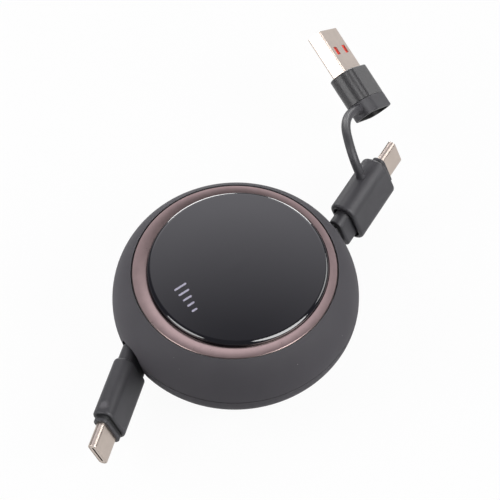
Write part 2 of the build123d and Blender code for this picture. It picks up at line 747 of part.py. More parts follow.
# Socket in the adapter's mouth: metal shell, tongue on its base, and contacts on both faces
socket_floor = mouth_depth - socket_reach
socket_length = collar_length - socket_floor + socket_root
with BuildPart() as socket_shell:
    with BuildSketch(mouth_plane.offset(socket_floor)):
        SlotOverall(socket_width, socket_thickness)
        SlotOverall(socket_width - 2 * socket_wall, socket_thickness - 2 * socket_wall, mode=Mode.SUBTRACT)
    extrude(amount=socket_length)
socket_shell.part.label = "socket_shell"
export_step(socket_shell.part, "parts/socket_shell.step")

with BuildPart() as socket_tongue:
    with BuildSketch(collar_plane.offset(socket_root - socket_base_length)):
        SlotOverall(
            socket_width - 2 * (socket_wall + running_clearance),
            socket_thickness - 2 * (socket_wall + running_clearance),
        )
    extrude(amount=socket_base_length)
    with BuildSketch(mouth_plane.offset(socket_floor + socket_tongue_setback)):
        Rectangle(socket_tongue_width, socket_tongue_thickness)
    extrude(amount=socket_length - socket_tongue_setback)
socket_tongue.part.label = "socket_tongue"
export_step(socket_tongue.part, "parts/socket_tongue.step")

with BuildPart() as socket_contacts:
    with BuildSketch(mouth_plane.offset(socket_floor + 2 * socket_tongue_setback)):
        for side in (-1, 1):
            with Locations((0, side * (socket_tongue_thickness + socket_contact_thickness) / 2)):
                with GridLocations(contact_pitch, 0, contact_count, 1):
                    Rectangle(contact_width, socket_contact_thickness)
    extrude(amount=socket_contact_length)
socket_contacts.part.label = "socket_contacts"
export_step(socket_contacts.part, "parts/socket_contacts.step")
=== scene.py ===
from math import cos, hypot, pi, radians, sin, sqrt

import bmesh
import bpy
from mathutils import Matrix, Vector


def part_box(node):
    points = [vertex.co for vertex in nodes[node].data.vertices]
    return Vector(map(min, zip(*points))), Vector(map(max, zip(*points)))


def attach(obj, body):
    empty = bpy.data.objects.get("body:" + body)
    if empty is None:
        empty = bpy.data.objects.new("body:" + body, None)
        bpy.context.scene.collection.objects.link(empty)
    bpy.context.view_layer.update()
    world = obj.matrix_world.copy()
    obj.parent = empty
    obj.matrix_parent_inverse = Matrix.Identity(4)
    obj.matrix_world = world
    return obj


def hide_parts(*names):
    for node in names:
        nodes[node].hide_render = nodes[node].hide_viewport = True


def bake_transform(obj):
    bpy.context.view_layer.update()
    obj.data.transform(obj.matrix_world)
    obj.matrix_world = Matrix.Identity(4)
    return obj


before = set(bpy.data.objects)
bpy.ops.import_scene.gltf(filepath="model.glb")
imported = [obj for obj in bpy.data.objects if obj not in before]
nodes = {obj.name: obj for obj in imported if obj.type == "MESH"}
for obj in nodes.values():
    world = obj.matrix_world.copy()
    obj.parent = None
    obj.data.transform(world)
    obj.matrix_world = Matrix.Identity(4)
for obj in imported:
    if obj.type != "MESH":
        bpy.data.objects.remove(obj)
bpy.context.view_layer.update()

mm = 0.001
print("frame loaded:", len(nodes), "nodes")


# Shader nodes that the stage and the finishes share

def feed(tree, socket, value):
    # a link from another node, or a plain value
    if isinstance(value, bpy.types.NodeSocket):
        tree.links.new(value, socket)
    else:
        socket.default_value = value


def mathNode(tree, operation, *values):
    node = tree.nodes.new("ShaderNodeMath")
    node.operation = operation
    for socket, value in zip(node.inputs, values):
        feed(tree, socket, value)
    return node.outputs[0]


def vectorNode(tree, operation, *values):
    node = tree.nodes.new("ShaderNodeVectorMath")
    node.operation = operation
    for socket, value in zip(node.inputs, values):
        feed(tree, socket, value)
    givesNumber = operation in ("DOT_PRODUCT", "LENGTH", "DISTANCE")
    return node.outputs["Value" if givesNumber else "Vector"]


def rangeNode(tree, value, low, high, start, stop):
    # start up to the low end, stop from the high end on, and an even change between
    node = tree.nodes.new("ShaderNodeMapRange")
    labels = ("Value", "From Min", "From Max", "To Min", "To Max")
    for label, given in zip(labels, (value, low, high, start, stop)):
        feed(tree, node.inputs[label], given)
    return node.outputs["Result"]


def noiseNode(tree, vector, scale, detail=3.0, roughness=0.55):
    noise = tree.nodes.new("ShaderNodeTexNoise")
    noise.inputs["Detail"].default_value = detail
    noise.inputs["Roughness"].default_value = roughness
    feed(tree, noise.inputs["Vector"], vector)
    feed(tree, noise.inputs["Scale"], scale)
    return noise.outputs["Fac"]


def mixColour(tree, share, first, second):
    node = tree.nodes.new("ShaderNodeMix")
    node.data_type = "RGBA"
    for socket, value in ((node.inputs[0], share), (node.inputs[6], first), (node.inputs[7], second)):
        feed(tree, socket, value)
    return node.outputs[2]


def scaledColour(tree, colour, factor):
    node = tree.nodes.new("ShaderNodeVectorMath")
    node.operation = "SCALE"
    feed(tree, node.inputs[0], colour)
    feed(tree, node.inputs["Scale"], factor)
    return node.outputs["Vector"]


def objectPlace(tree):
    return tree.nodes.new("ShaderNodeTexCoord").outputs["Object"]


# Stage: directions as the camera sees them, the camera, the lamps, the world and the floor

camera = {
    "heading": -35.0,      # degrees about Z, from looking along +Y
    "elevation": 56.165,
    "roll": -1.2,
    "distance": 0.37762,   # along the line of sight to the origin's depth
    "slideRight": 0.003591,
    "slideUp": 0.017569,
    "lens": 102.214,
    "sensor": 36.0,
    "clipStart": 0.01,
    "clipEnd": 20.0,
}


def levelAxes():
    # level directions to the camera's right and away from it
    turn = radians(camera["heading"])
    return Vector((cos(turn), sin(turn), 0)), Vector((-sin(turn), cos(turn), 0))


def cameraAxes():
    right, away = levelAxes()
    lift = radians(camera["elevation"])
    tip = radians(camera["roll"])
    up = away * sin(lift) + Vector((0, 0, cos(lift)))
    look = away * cos(lift) - Vector((0, 0, sin(lift)))
    return right * cos(tip) + up * sin(tip), up * cos(tip) - right * sin(tip), look


def addCamera():
    right, up, look = cameraAxes()
    place = right * camera["slideRight"] + up * camera["slideUp"] - look * camera["distance"]
    data = bpy.data.cameras.new("photoCamera")
    data.lens = camera["lens"]
    data.sensor_width = camera["sensor"]
    data.clip_start = camera["clipStart"]
    data.clip_end = camera["clipEnd"]
    photoCamera = bpy.data.objects.new("photoCamera", data)
    axes = Matrix((right, up, -look)).transposed()
    photoCamera.matrix_world = Matrix.Translation(place) @ axes.to_4x4()
    bpy.context.scene.collection.objects.link(photoCamera)
    bpy.context.scene.camera = photoCamera


# degrees right of the camera, elevation, distance, width and height in metres, radiance, and what it lights
lamps = {
    "leftBox": (-58.0, 29.0, 0.70, 0.48, 0.48, 5.5, "gloss"),
    "rightBox": (50.0, 45.0, 0.70, 0.56, 0.78, 8.5, "gloss"),
    "leftSoft": (-93.0, 24.0, 0.70, 0.60, 0.56, 5.3, "shade"),
    "rightSoft": (75.0, 28.0, 0.70, 0.60, 0.56, 4.7, "shade"),
    "rightCard": (117.0, 38.0, 0.80, 0.46, 0.40, 3.9, "gloss"),
    "backLeftCard": (-166.0, 12.0, 0.95, 0.46, 0.38, 13.0, "gloss"),
    "backRightCard": (160.0, 12.0, 0.95, 0.34, 0.38, 13.0, "gloss"),
}


def addLamps():
    right, away = levelAxes()
    for name, (turn, lift, distance, width, height, radiance, lights) in lamps.items():
        data = bpy.data.lights.new(name, "AREA")
        data.shape = "ELLIPSE"
        data.size = width
        data.size_y = height
        data.energy = radiance * pi * (pi / 4 * width * height)
        lamp = bpy.data.objects.new(name, data)
        across = distance * cos(radians(lift))
        place = right * (across * sin(radians(turn))) - away * (across * cos(radians(turn)))
        place.z = distance * sin(radians(lift))
        lamp.matrix_world = Matrix.Translation(place) @ place.to_track_quat("Z", "Y").to_matrix().to_4x4()
        lamp.visible_camera = False
        lamp.visible_diffuse = lights == "shade"
        lamp.visible_glossy = lights == "gloss"
        bpy.context.scene.collection.objects.link(lamp)


studio = {
    "roomLight": 0.20,         # radiance of the room all round
    "backGlow": 2.4,           # extra radiance of a soft band behind the puck
    "glowFoot": (0.40, 0.60),  # sines of the elevation between which the band comes up
    "glowHead": (0.62, 0.93),  # and between which it fades
    "glowSide": (0.72, 0.95),  # cosines of its sideways reach, from nothing to full
    "tint": (0.99, 0.97, 1.03, 1.0),
    "white": (1.0, 1.0, 1.0, 1.0),
    "floorColour": (0.82, 0.82, 0.82, 1.0),
    "floorShade": 0.05,        # share of the floor's own shading that shows to the camera
    "floorReach": 8.0,
    "floorSink": 0.02 * mm,
}


def rayMask(tree, *kinds):
    # 1 where the ray is of any of these kinds
    path = tree.nodes.new("ShaderNodeLightPath")
    mask = path.outputs[kinds[0]]
    for kind in kinds[1:]:
        mask = mathNode(tree, "MAXIMUM", mask, path.outputs[kind])
    return mask


def mixShaders(tree, share, first, second):
    mix = tree.nodes.new("ShaderNodeMixShader")
    for socket, value in zip(mix.inputs, (share, first.outputs[0], second.outputs[0])):
        tree.links.new(value, socket)
    return mix.outputs[0]


def addWorld():
    world = bpy.data.worlds.new("studioRoom")
    world.use_nodes = True
    bpy.context.scene.world = world
    tree = world.node_tree
    tree.nodes.clear()
    direction = tree.nodes.new("ShaderNodeTexCoord").outputs["Generated"]
    split = tree.nodes.new("ShaderNodeSeparateXYZ")
    tree.links.new(direction, split.inputs[0])
    rise = rangeNode(tree, split.outputs["Z"], *studio["glowFoot"], 0.0, 1.0)
    fall = rangeNode(tree, split.outputs["Z"], *studio["glowHead"], 1.0, 0.0)
    compass = vectorNode(tree, "NORMALIZE", vectorNode(tree, "MULTIPLY", direction, (1, 1, 0)))
    behind = vectorNode(tree, "DOT_PRODUCT", compass, levelAxes()[1])
    side = rangeNode(tree, behind, *studio["glowSide"], 0.0, 1.0)
    glow = mathNode(tree, "MULTIPLY", mathNode(tree, "MULTIPLY", rise, fall), side)
    room = tree.nodes.new("ShaderNodeBackground")
    room.inputs["Color"].default_value = studio["tint"]
    strength = mathNode(tree, "MULTIPLY_ADD", glow, studio["backGlow"], studio["roomLight"])
    tree.links.new(strength, room.inputs["Strength"])
    plain = tree.nodes.new("ShaderNodeBackground")
    plain.inputs["Color"].default_value = studio["white"]
    plain.inputs["Strength"].default_value = 1
    direct = rayMask(tree, "Is Camera Ray", "Is Transmission Ray")
    output = tree.nodes.new("ShaderNodeOutputWorld")
    tree.links.new(mixShaders(tree, direct, room, plain), output.inputs["Surface"])


def floorMaterial():
    material = bpy.data.materials.new("paleFloor")
    material.use_nodes = True
    tree = material.node_tree
    tree.nodes.clear()
    matte = tree.nodes.new("ShaderNodeBsdfDiffuse")
    matte.inputs["Color"].default_value = studio["floorColour"]
    white = tree.nodes.new("ShaderNodeEmission")
    white.inputs["Color"].default_value = studio["white"]
    white.inputs["Strength"].default_value = 1
    shown = rayMask(tree, "Is Camera Ray", "Is Transmission Ray", "Is Glossy Ray")
    share = mathNode(tree, "MULTIPLY", shown, 1 - studio["floorShade"])
    output = tree.nodes.new("ShaderNodeOutputMaterial")
    tree.links.new(mixShaders(tree, share, matte, white), output.inputs["Surface"])
    return material


def addFloor():
    reach = studio["floorReach"]
    mesh = bpy.data.meshes.new("floor")
    corners = [(-reach, -reach, 0), (reach, -reach, 0), (reach, reach, 0), (-reach, reach, 0)]
    mesh.from_pydata(corners, [], [(0, 1, 2, 3)])
    floor = bpy.data.objects.new("floor", mesh)
    floor.location.z = -studio["floorSink"]
    bpy.context.scene.collection.objects.link(floor)
    mesh.materials.append(floorMaterial())


bpy.context.scene.view_settings.view_transform = "Standard"
addCamera()
addLamps()
addWorld()
addFloor()
print("stage set")


# Shared surface effects

noiseSpan = (0.3, 0.7)   # most of what a noise texture gives lies between these


def newGroup(name, inputs, outputs):
    group = bpy.data.node_groups.new(name, "ShaderNodeTree")
    for label, kind, value in inputs:
        socket = group.interface.new_socket(label, in_out="INPUT", socket_type="NodeSocket" + kind)
        socket.default_value = value
    for label, kind in outputs:
        group.interface.new_socket(label, in_out="OUTPUT", socket_type="NodeSocket" + kind)
    return group, group.nodes.new("NodeGroupInput").outputs, group.nodes.new("NodeGroupOutput").inputs


grainNoise = {"detail": 2.0, "slowScale": 90.0, "slowDetail": 4.0}


def mouldedGrainGroup():
    # fine texture of moulded plastic and rubber, with slow changes of tone and sheen
    group, given, result = newGroup(
        "mouldedGrain",
        [
            ("Colour", "Color", (0.1, 0.1, 0.1, 1)), ("Tone Spread", "Float", 0.1),
            ("Grain Scale", "Float", 5000.0), ("Roughness", "Float", 0.6), ("Sheen Spread", "Float", 0.08),
        ],
        [("Colour", "Color"), ("Roughness", "Float"), ("Height", "Float")],
    )
    place = objectPlace(group)
    grain = noiseNode(group, place, given["Grain Scale"], grainNoise["detail"])
    slow = noiseNode(group, place, grainNoise["slowScale"], grainNoise["slowDetail"])
    low = mathNode(group, "SUBTRACT", 1.0, given["Tone Spread"])
    high = mathNode(group, "ADD", 1.0, given["Tone Spread"])
    tone = rangeNode(group, slow, *noiseSpan, low, high)
    drift = mathNode(group, "SUBTRACT", grain, 0.5)
    rough = mathNode(group, "MULTIPLY_ADD", drift, given["Sheen Spread"], given["Roughness"])
    group.links.new(scaledColour(group, given["Colour"], tone), result["Colour"])
    group.links.new(rough, result["Roughness"])
    group.links.new(grain, result["Height"])
    return group


lineNoise = {"detail": 4.0, "tone": (0.94, 1.05)}


def drawnMetalGroup():
    # fine lines along one direction and a slight change of tone, as on plated or brushed metal
    group, given, result = newGroup(
        "drawnMetal",
        [
            ("Colour", "Color", (0.6, 0.6, 0.6, 1)), ("Stretch", "Vector", (1.0, 1.0, 1.0)),
            ("Roughness", "Float", 0.3), ("Line Depth", "Float", 0.1),
        ],
        [("Colour", "Color"), ("Roughness", "Float"), ("Height", "Float")],
    )
    stretched = vectorNode(group, "MULTIPLY", objectPlace(group), given["Stretch"])
    lines = noiseNode(group, stretched, 1.0, lineNoise["detail"])
    tone = rangeNode(group, lines, *noiseSpan, *lineNoise["tone"])
    drift = mathNode(group, "SUBTRACT", lines, 0.5)
    rough = mathNode(group, "MULTIPLY_ADD", drift, given["Line Depth"], given["Roughness"])
    group.links.new(scaledColour(group, given["Colour"], tone), result["Colour"])
    group.links.new(rough, result["Roughness"])
    group.links.new(lines, result["Height"])
    return group


dustSpread = 0.4   # share of the cells that hold a speck


def dustGroup():
    # sparse pale specks that have settled on a surface
    group, given, result = newGroup(
        "dustSpecks",
        [
            ("Colour", "Color", (0.1, 0.1, 0.1, 1)), ("Dust Colour", "Color", (0.45, 0.43, 0.42, 1)),
            ("Speck Scale", "Float", 260.0), ("Speck Size", "Float", 0.035), ("Amount", "Float", 0.5),
        ],
        [("Colour", "Color"), ("Mask", "Float")],
    )
    cells = group.nodes.new("ShaderNodeTexVoronoi")
    group.links.new(objectPlace(group), cells.inputs["Vector"])
    group.links.new(given["Speck Scale"], cells.inputs["Scale"])
    inside = mathNode(group, "LESS_THAN", cells.outputs["Distance"], given["Speck Size"])
    chosen = group.nodes.new("ShaderNodeSeparateColor")
    group.links.new(cells.outputs["Color"], chosen.inputs[0])
    few = mathNode(group, "LESS_THAN", chosen.outputs[0], dustSpread)
    mask = mathNode(group, "MULTIPLY", mathNode(group, "MULTIPLY", inside, few), given["Amount"])
    group.links.new(mixColour(group, mask, given["Colour"], given["Dust Colour"]), result["Colour"])
    group.links.new(mask, result["Mask"])
    return group


def bandMaskGroup():
    # 1 between two distances along a direction in the object's own frame
    group, given, result = newGroup(
        "bandMask",
        [
            ("Direction", "Vector", (0.0, 0.0, 1.0)), ("Low", "Float", 0.0), ("High", "Float", 1.0),
            ("Fade", "Float", 0.1),
        ],
        [("Mask", "Float")],
    )
    along = vectorNode(group, "DOT_PRODUCT", objectPlace(group), given["Direction"])
    foot = mathNode(group, "SUBTRACT", given["Low"], given["Fade"])
    head = mathNode(group, "ADD", given["High"], given["Fade"])
    rise = rangeNode(group, along, foot, given["Low"], 0.0, 1.0)
    fall = rangeNode(group, along, given["High"], head, 1.0, 0.0)
    group.links.new(mathNode(group, "MULTIPLY", rise, fall), result["Mask"])
    return group


mouldedGrain = mouldedGrainGroup()
drawnMetal = drawnMetalGroup()
dustSpecks = dustGroup()
bandMask = bandMaskGroup()


def newMaterial(name):
    material = bpy.data.materials.new(name)
    material.use_nodes = True
    tree = material.node_tree
    return material, tree, tree.nodes["Principled BSDF"]


def placeGroup(tree, group, **values):
    node = tree.nodes.new("ShaderNodeGroup")
    node.node_tree = group
    for label, value in values.items():
        feed(tree, node.inputs[label.replace("_", " ")], value)
    return node.outputs


def placeGrain(tree, finish):
    return placeGroup(
        tree, mouldedGrain, Colour=finish["colour"], Tone_Spread=finish["toneSpread"],
        Grain_Scale=finish["grainScale"], Roughness=finish["roughness"], Sheen_Spread=finish["sheenSpread"],
    )


def placeLines(tree, finish):
    return placeGroup(
        tree, drawnMetal, Colour=finish["colour"], Stretch=finish["stretch"], Roughness=finish["roughness"],
        Line_Depth=finish["lineDepth"],
    )


def addBump(tree, shader, height, strength, distance):
    bump = tree.nodes.new("ShaderNodeBump")
    bump.inputs["Strength"].default_value = strength
    bump.inputs["Distance"].default_value = distance
    tree.links.new(height, bump.inputs["Height"])
    tree.links.new(bump.outputs["Normal"], shader.inputs["Normal"])


def mouldedMaterial(name, finish, *marks):
    # each mark is a function that gives its mask in the tree, and the colour that it lays there
    material, tree, shader = newMaterial(name)
    grain = placeGrain(tree, finish)
    colour = placeGroup(tree, dustSpecks, Colour=grain["Colour"], Amount=finish["dust"])["Colour"]
    for maskIn, markColour in marks:
        colour = mixColour(tree, maskIn(tree), colour, markColour)
    tree.links.new(colour, shader.inputs["Base Color"])
    tree.links.new(grain["Roughness"], shader.inputs["Roughness"])
    shader.inputs["Specular IOR Level"].default_value = finish["specular"]
    addBump(tree, shader, grain["Height"], finish["bump"], finish["grainDepth"])
    return material


def metalMaterial(name, finish):
    material, tree, shader = newMaterial(name)
    lines = placeLines(tree, finish)
    tree.links.new(lines["Colour"], shader.inputs["Base Color"])
    tree.links.new(lines["Roughness"], shader.inputs["Roughness"])
    shader.inputs["Metallic"].default_value = 1
    addBump(tree, shader, lines["Height"], finish["bump"], finish["relief"])
    return material


def dress(material, *names):
    for name in names:
        node = nodes[name]
        node.data.materials.clear()
        node.data.materials.append(material)


# Shared mesh helpers

def roundedSection(width, thickness, corner, steps):
    # closed outline of a rounded rectangle, wide along its first coordinate
    outline = []
    for quarter, (a, b) in enumerate(((1, 1), (-1, 1), (-1, -1), (1, -1))):
        centre = Vector((a * (width / 2 - corner), b * (thickness / 2 - corner)))
        for i in range(steps + 1):
            angle = pi / 2 * (quarter + i / steps)
            outline.append(centre + Vector((cos(angle), sin(angle))) * corner)
    return outline


def bridgeLoops(mesh, first, second, smooth=False):
    # faces between two closed loops that have the same number of points
    for j in range(len(first)):
        k = (j + 1) % len(first)
        mesh.faces.new((first[j], first[k], second[k], second[j])).smooth = smooth


def meshPiece(name, mesh, material):
    bmesh.ops.recalc_face_normals(mesh, faces=mesh.faces)
    data = bpy.data.meshes.new(name)
    mesh.to_mesh(data)
    mesh.free()
    data.materials.append(material)
    piece = bpy.data.objects.new(name, data)
    bpy.context.scene.collection.objects.link(piece)
    return piece


# Puck: soft-touch shells

softTouch = {
    "colour": (0.062, 0.059, 0.066, 1), "toneSpread": 0.05, "grainScale": 6500.0, "roughness": 0.68,
    "sheenSpread": 0.10, "dust": 0.35, "specular": 0.16, "bump": 0.20, "grainDepth": 0.03 * mm,
}
shellSeam = {"height": 11.2 * mm, "half": 0.12 * mm, "fade": 0.06 * mm, "colour": (0.010, 0.010, 0.011, 1)}


def seamMask(tree):
    low = shellSeam["height"] - shellSeam["half"]
    high = shellSeam["height"] + shellSeam["half"]
    return placeGroup(tree, bandMask, Low=low, High=high, Fade=shellSeam["fade"])["Mask"]


shellMaterial = mouldedMaterial("softTouchShell", softTouch, (seamMask, shellSeam["colour"]))
dress(shellMaterial, "lower_shell", "upper_shell")
print("puck shells dressed")


# Trim ring: satin rose-brown metal with a crowned top and a polished outer edge

ringFinish = {
    "colour": (0.262, 0.196, 0.190, 1), "stretch": (500.0, 500.0, 500.0), "roughness": 0.28,
    "lineDepth": 0.03, "edgeColour": (0.90, 0.88, 0.83, 1), "edgeRoughness": 0.16,
    "edgeRadius": 26.02 * mm, "edgeFade": 0.04 * mm,
}
crownedRing = {
    "crestRadius": 24.4 * mm, "swell": 50.0,   # swell is half the crown's curvature, per metre
    "bevelDrop": 0.05 * mm,                    # how far the bevel's outer edge lies below the solid's
    "near": 0.005 * mm,                        # how close a point of the solid lies to the edge it marks
    "turnSteps": 240, "topSteps": 12,
}


def ringMaterial():
    material, tree, shader = newMaterial("roseTrim")
    lines = placeLines(tree, ringFinish)
    radius = vectorNode(tree, "LENGTH", vectorNode(tree, "MULTIPLY", objectPlace(tree), (1, 1, 0)))
    low = ringFinish["edgeRadius"] - ringFinish["edgeFade"]
    high = ringFinish["edgeRadius"] + ringFinish["edgeFade"]
    edge = rangeNode(tree, radius, low, high, 0.0, 1.0)
    colour = mixColour(tree, edge, lines["Colour"], ringFinish["edgeColour"])
    rough = rangeNode(tree, edge, 0.0, 1.0, lines["Roughness"], ringFinish["edgeRoughness"])
    tree.links.new(colour, shader.inputs["Base Color"])
    tree.links.new(rough, shader.inputs["Roughness"])
    shader.inputs["Metallic"].default_value = 1
    return material


def ringProfiles():
    # the ring's section at each step round it: inner wall, crowned top, bevel, outer wall and foot
    points = [(hypot(vertex.co.x, vertex.co.y), vertex.co) for vertex in nodes["trim_ring"].data.vertices]
    near = crownedRing["near"]
    foot, top = [corner.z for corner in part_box("trim_ring")]
    outer = max(r for r, place in points)
    inner = min(r for r, place in points)
    edge = max(r for r, place in points if place.z > top - near)
    shoulder = max(place.z for r, place in points if r > outer - near) - crownedRing["bevelDrop"]
    innerTop = max(place.z for r, place in points if r < inner + near)
    slope = (top - innerTop) / (edge - inner)
    low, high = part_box("top_lens")
    hole = (low + high).xy / 2
    rim = [place.xy for r, place in points if place.z < foot + near and r < edge]
    holeRadius = sum((spot - hole).length for spot in rim) / len(rim)
    crest = crownedRing["crestRadius"]
    profiles = []
    for i in range(crownedRing["turnSteps"]):
        turn = 2 * pi * i / crownedRing["turnSteps"]
        ahead = Vector((cos(turn), sin(turn)))
        start = ahead.dot(hole) + sqrt(holeRadius ** 2 - hole.length_squared + ahead.dot(hole) ** 2)
        section = [(start, foot)]
        for j in range(crownedRing["topSteps"] + 1):
            r = start + (edge - start) * j / crownedRing["topSteps"]
            rise = crownedRing["swell"] * ((edge - crest) ** 2 - (r - crest) ** 2)
            section.append((r, top - slope * (edge - r) + rise))
        section += [(outer, shoulder), (outer, foot)]
        profiles.append([(*(ahead * r), z) for r, z in section])
    return profiles


def addCrownedRing():
    mesh = bmesh.new()
    rings = [[mesh.verts.new(place) for place in profile] for profile in ringProfiles()]
    count = len(rings[0])
    corners = (0, 1, count - 3, count - 2, count - 1)
    for first, second in zip(rings, rings[1:] + rings[:1]):
        bridgeLoops(mesh, first, second, smooth=True)
        for j in corners:
            mesh.edges.get((first[j], second[j])).smooth = False
    piece = meshPiece("crownedRing", mesh, ringMaterial())
    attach(piece, "housing")
    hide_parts("trim_ring")


addCrownedRing()
print("trim ring drawn")


# Top lens: glossy black, with faint dust

lensFinish = {
    "colour": (0.0012, 0.0012, 0.0042, 1), "roughness": 0.03, "specular": 0.85, "dust": 0.25,
    "dustColour": (0.2, 0.2, 0.22, 1), "speckScale": 180.0, "speckSize": 0.025,
}


def lensMaterial():
    material, tree, shader = newMaterial("blackLens")
    dust = placeGroup(
        tree, dustSpecks, Colour=lensFinish["colour"], Dust_Colour=lensFinish["dustColour"],
        Speck_Scale=lensFinish["speckScale"], Speck_Size=lensFinish["speckSize"], Amount=lensFinish["dust"],
    )
    tree.links.new(dust["Colour"], shader.inputs["Base Color"])
    shader.inputs["Roughness"].default_value = lensFinish["roughness"]
    shader.inputs["Specular IOR Level"].default_value = lensFinish["specular"]
    return material


dress(lensMaterial(), "top_lens")


# Charge mark on the lens: slim rounded bars of rising length

chargeMark = {
    "centre": (-14.5 * mm, -0.8 * mm), "barCount": 5, "spacing": 1.9 * mm, "barWidth": 0.50 * mm,
    "shortest": 1.6 * mm, "longest": 3.6 * mm, "thickness": 0.08 * mm, "roundSteps": 8,
    "castHeight": 1.0 * mm,   # above the lens, where the look down at its surface starts
}
lilacPrint = {
    "colour": (0.42, 0.40, 0.50, 1), "toneSpread": 0.08, "grainScale": 4000.0, "roughness": 0.4,
    "sheenSpread": 0.1,
}


def printMaterial():
    material, tree, shader = newMaterial("lilacPrint")
    grain = placeGrain(tree, lilacPrint)
    tree.links.new(grain["Colour"], shader.inputs["Base Color"])
    tree.links.new(grain["Roughness"], shader.inputs["Roughness"])
    return material


def barOutline(length):
    # rounded bar that lies along X, from its foot at X 0
    half = chargeMark["barWidth"] / 2
    steps = chargeMark["roundSteps"]
    angles = [pi * (i / steps - 0.5) for i in range(steps + 1)]
    head = [(length - half + half * cos(angle), half * sin(angle)) for angle in angles]
    rear = [(half - half * cos(angle), -half * sin(angle)) for angle in angles]
    return head + rear


def addChargeMark():
    mesh = bmesh.new()
    lens = nodes["top_lens"]
    down = Vector((0, 0, -1))
    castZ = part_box("top_lens")[1].z + chargeMark["castHeight"]
    count = chargeMark["barCount"]
    centreX, centreY = chargeMark["centre"]
    for i in range(count):
        length = chargeMark["shortest"] + (chargeMark["longest"] - chargeMark["shortest"]) * i / (count - 1)
        footX = centreX - chargeMark["longest"] / 2
        footY = centreY + (i - (count - 1) / 2) * chargeMark["spacing"]
        spots = [Vector((footX + x, footY + y, castZ)) for x, y in barOutline(length)]
        places = [lens.ray_cast(spot, down)[1] for spot in spots]
        upper = [mesh.verts.new(place + Vector((0, 0, chargeMark["thickness"]))) for place in places]
        lower = [mesh.verts.new(place) for place in places]
        mesh.faces.new(upper)
        mesh.faces.new(lower[::-1])
        bridgeLoops(mesh, upper, lower)
    piece = meshPiece("chargeMark", mesh, printMaterial())
    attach(piece, "housing")


addChargeMark()
print("lens and charge mark dressed")


# Plugs and sleeve: matte rubber, with painted shade for the groove behind each plug's nose and a scuff on the
# device plug

plugRubber = {
    "colour": (0.039, 0.038, 0.043, 1), "toneSpread": 0.16, "grainScale": 4200.0, "roughness": 0.50,
    "sheenSpread": 0.14, "dust": 0.4, "specular": 0.34, "bump": 0.28, "grainDepth": 0.05 * mm,
}
rubberMaterial = mouldedMaterial("plugRubber", plugRubber)
dress(rubberMaterial, "tether_sleeve")

# each plug's axis towards its tip, and the direction of its wide side
plugAxes = {
    "device": ((-0.7788, -0.6240, 0.0591), (-0.176661, 0.309298, 0.934412)),
    "charger": ((0.9257, 0.3571, 0.1251), (-0.22352, 0.248532, 0.942481)),
}
# painted shade: a near-black band on the grip where the nose leaves it, standing in for the groove's shadow
plugGrooveShade = {
    "foot": 8.32 * mm, "head": 7.55 * mm,   # behind the plug's tip, where the nose leaves the grip
    "fade": 0.25 * mm, "colour": (0.008, 0.008, 0.009, 1),
}
plugScuff = {
    "place": (-45.7 * mm, -8.6 * mm, 14.6 * mm), "core": 1.25 * mm, "edge": 2.05 * mm, "share": 0.65,
    "ragged": 1.2 * mm, "raggedScale": 900.0, "colour": (0.125, 0.120, 0.130, 1),
}


def plugFrame(end):
    # the plug's tip on its axis, and its axis, wide and thin directions
    axis, wide = [Vector(direction).normalized() for direction in plugAxes[end]]
    wide = (wide - axis * wide.dot(axis)).normalized()
    thin = axis.cross(wide)
    places = [vertex.co for vertex in nodes[end + "_plug_shell"].data.vertices]
    spans = [[place.dot(direction) for place in places] for direction in (axis, wide, thin)]
    middle = [(min(span) + max(span)) / 2 for span in spans]
    tip = axis * max(spans[0]) + wide * middle[1] + thin * middle[2]
    return tip, axis, wide, thin


# mask of the painted groove shade, a band across the plug's axis
def grooveShadeMask(end):
    tip, axis = plugFrame(end)[:2]
    low = tip.dot(axis) - plugGrooveShade["foot"]
    high = tip.dot(axis) - plugGrooveShade["head"]

    def maskIn(tree):
        return placeGroup(tree, bandMask, Direction=axis, Low=low, High=high, Fade=plugGrooveShade["fade"])["Mask"]
    return maskIn


def scuffMask(tree):
    place = objectPlace(tree)
    reach = vectorNode(tree, "DISTANCE", place, plugScuff["place"])
    noise = noiseNode(tree, place, plugScuff["raggedScale"])
    ragged = mathNode(tree, "MULTIPLY_ADD", noise, plugScuff["ragged"], reach)
    return rangeNode(tree, ragged, plugScuff["core"], plugScuff["edge"], plugScuff["share"], 0.0)


# the device plug's rubber carries the painted groove shade and a real scuff; the charger plug's only the
# painted shade
deviceShadeAndScuff = ((grooveShadeMask("device"), plugGrooveShade["colour"]), (scuffMask, plugScuff["colour"]))
dress(mouldedMaterial("devicePlugRubber", plugRubber, *deviceShadeAndScuff), "device_plug_overmould")
chargerGrooveShade = (grooveShadeMask("charger"), plugGrooveShade["colour"])
dress(mouldedMaterial("chargerPlugRubber", plugRubber, chargerGrooveShade), "charger_plug_overmould")


# Adapter collar: the same rubber, with painted shade on the faces inside its mouth

# near-black colour painted inside the mouth as shade
collarMouthShade = {"colour": (0.006, 0.006, 0.006, 1)}


def mouthShadeMask(tree):
    # 1 on faces that look towards the adapter's axis, where the painted shade goes
    middle, ahead = [(low + high) / 2 for low, high in (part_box("adapter_body"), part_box("wide_plug_shell"))]
    axis = (ahead - middle).normalized()
    coordinate = tree.nodes.new("ShaderNodeTexCoord")
    offset = vectorNode(tree, "SUBTRACT", coordinate.outputs["Object"], middle)
    outward = vectorNode(tree, "SUBTRACT", offset, vectorNode(tree, "PROJECT", offset, axis))
    facing = vectorNode(tree, "DOT_PRODUCT", outward, coordinate.outputs["Normal"])
    return mathNode(tree, "LESS_THAN", facing, 0.0)


# the collar's rubber, with the painted mouth shade
dress(mouldedMaterial("collarRubber", plugRubber, (mouthShadeMask, collarMouthShade["colour"])), "adapter_collar")


# Adapter body: smoother, with a soft gloss

